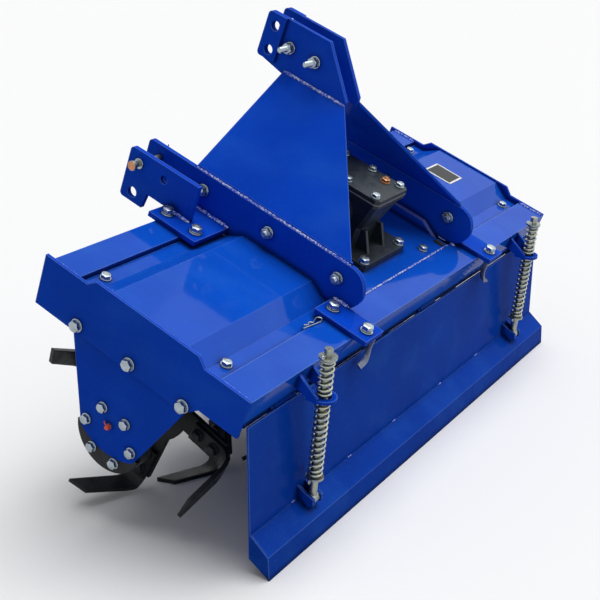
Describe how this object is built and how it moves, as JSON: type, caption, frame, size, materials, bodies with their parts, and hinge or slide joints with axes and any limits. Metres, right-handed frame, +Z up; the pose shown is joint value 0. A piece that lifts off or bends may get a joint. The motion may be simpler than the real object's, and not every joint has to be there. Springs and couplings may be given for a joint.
{
  "type": "rotary tiller",
  "caption": "Tractor-mounted rotary tiller with a centre gear drive to a tined rotor, a pressed hood, a braced hitch mast and a sprung, hinged tailboard.",
  "frame": {"origin": "on the floor, under the middle of the machine's box as it parks", "axes": "+X to the machine's right, +Y forward to the tractor, +Z up"},
  "size_m": [1.2, 0.5826, 0.8408],
  "materials": {
    "blue_paint": "gloss",
    "dark_blue_paint": "gloss",
    "black_paint": "satin",
    "black_casting": "satin",
    "black_tine": "satin",
    "bright_steel": "satin",
    "yellow_zinc": "satin",
    "spring_steel": "satin",
    "copper_pin": "satin"
  },
  "bodies": {
    "frame": {"bearing_housing_left": "black_paint", "bearing_housing_right": "black_paint", "bearing_plate_left": "blue_paint", "bearing_plate_right": "blue_paint", "clevis_plate_left": "blue_paint", "clevis_plate_right": "blue_paint", "deck_plate": "blue_paint", "end_plate_left": "blue_paint", "end_plate_right": "blue_paint", "front_beam": "blue_paint", "front_feet": "blue_paint", "gear_case": "black_casting", "gearbox_cover": "black_casting", "gearbox_housing": "black_casting", "hinge_lugs": "blue_paint", "hinge_rod": "bright_steel", "hitch_pin_left": "copper_pin", "hitch_pin_right": "copper_pin", "hood_cover_left": "blue_paint", "hood_cover_right": "blue_paint", "hood_rib_left": "blue_paint", "hood_rib_right": "blue_paint", "lug_spacers": "bright_steel", "mast_bar_left": "blue_paint", "mast_bar_right": "blue_paint", "mast_plate_left": "blue_paint", "mast_plate_right": "blue_paint", "rear_beam": "blue_paint", "rear_feet": "blue_paint", "spring_bracket_left": "blue_paint", "spring_bracket_right": "blue_paint", "top_lug_left": "blue_paint", "top_lug_right": "blue_paint"},
    "rotor": {"rotor_shaft": "black_paint", "tine_flange_left_1": "black_tine", "tine_flange_left_2": "black_tine", "tine_flange_left_3": "black_tine", "tine_flange_right_1": "black_tine", "tine_flange_right_2": "black_tine", "tine_flange_right_3": "black_tine"},
    "pto": {"pto_shaft": "bright_steel"},
    "tailboard": {"tailboard": "dark_blue_paint", "tailboard_lugs": "dark_blue_paint", "spring_rod_left": "yellow_zinc", "spring_rod_right": "yellow_zinc", "lower_spring_left": "spring_steel", "lower_spring_right": "spring_steel", "upper_spring_left": "spring_steel", "upper_spring_right": "spring_steel"}
  },
  "joints": [
    {"name": "rotor_spin", "type": "hinge", "parent": "frame", "child": "rotor", "pos_m": [0, 0.07402, 0.18208], "axis": [1, 0, 0], "continuous": true},
    {"name": "pto_spin", "type": "hinge", "parent": "frame", "child": "pto", "pos_m": [0, 0.17779, 0.56843], "axis": [0, 0.9219, 0.3873], "continuous": true},
    {"name": "tailboard_swing", "type": "hinge", "parent": "frame", "child": "tailboard", "pos_m": [0, -0.20924, 0.27026], "axis": [-1, 0, 0], "range_deg": [0, 18], "stiffness_Nm_per_rad": 600, "springref_deg": -3.44, "deforming": ["lower_spring_left", "lower_spring_right"]}
  ],
  "couplings": [
    {"joint": "pto_spin", "follows": "rotor_spin", "ratio": 2.6}
  ]
}
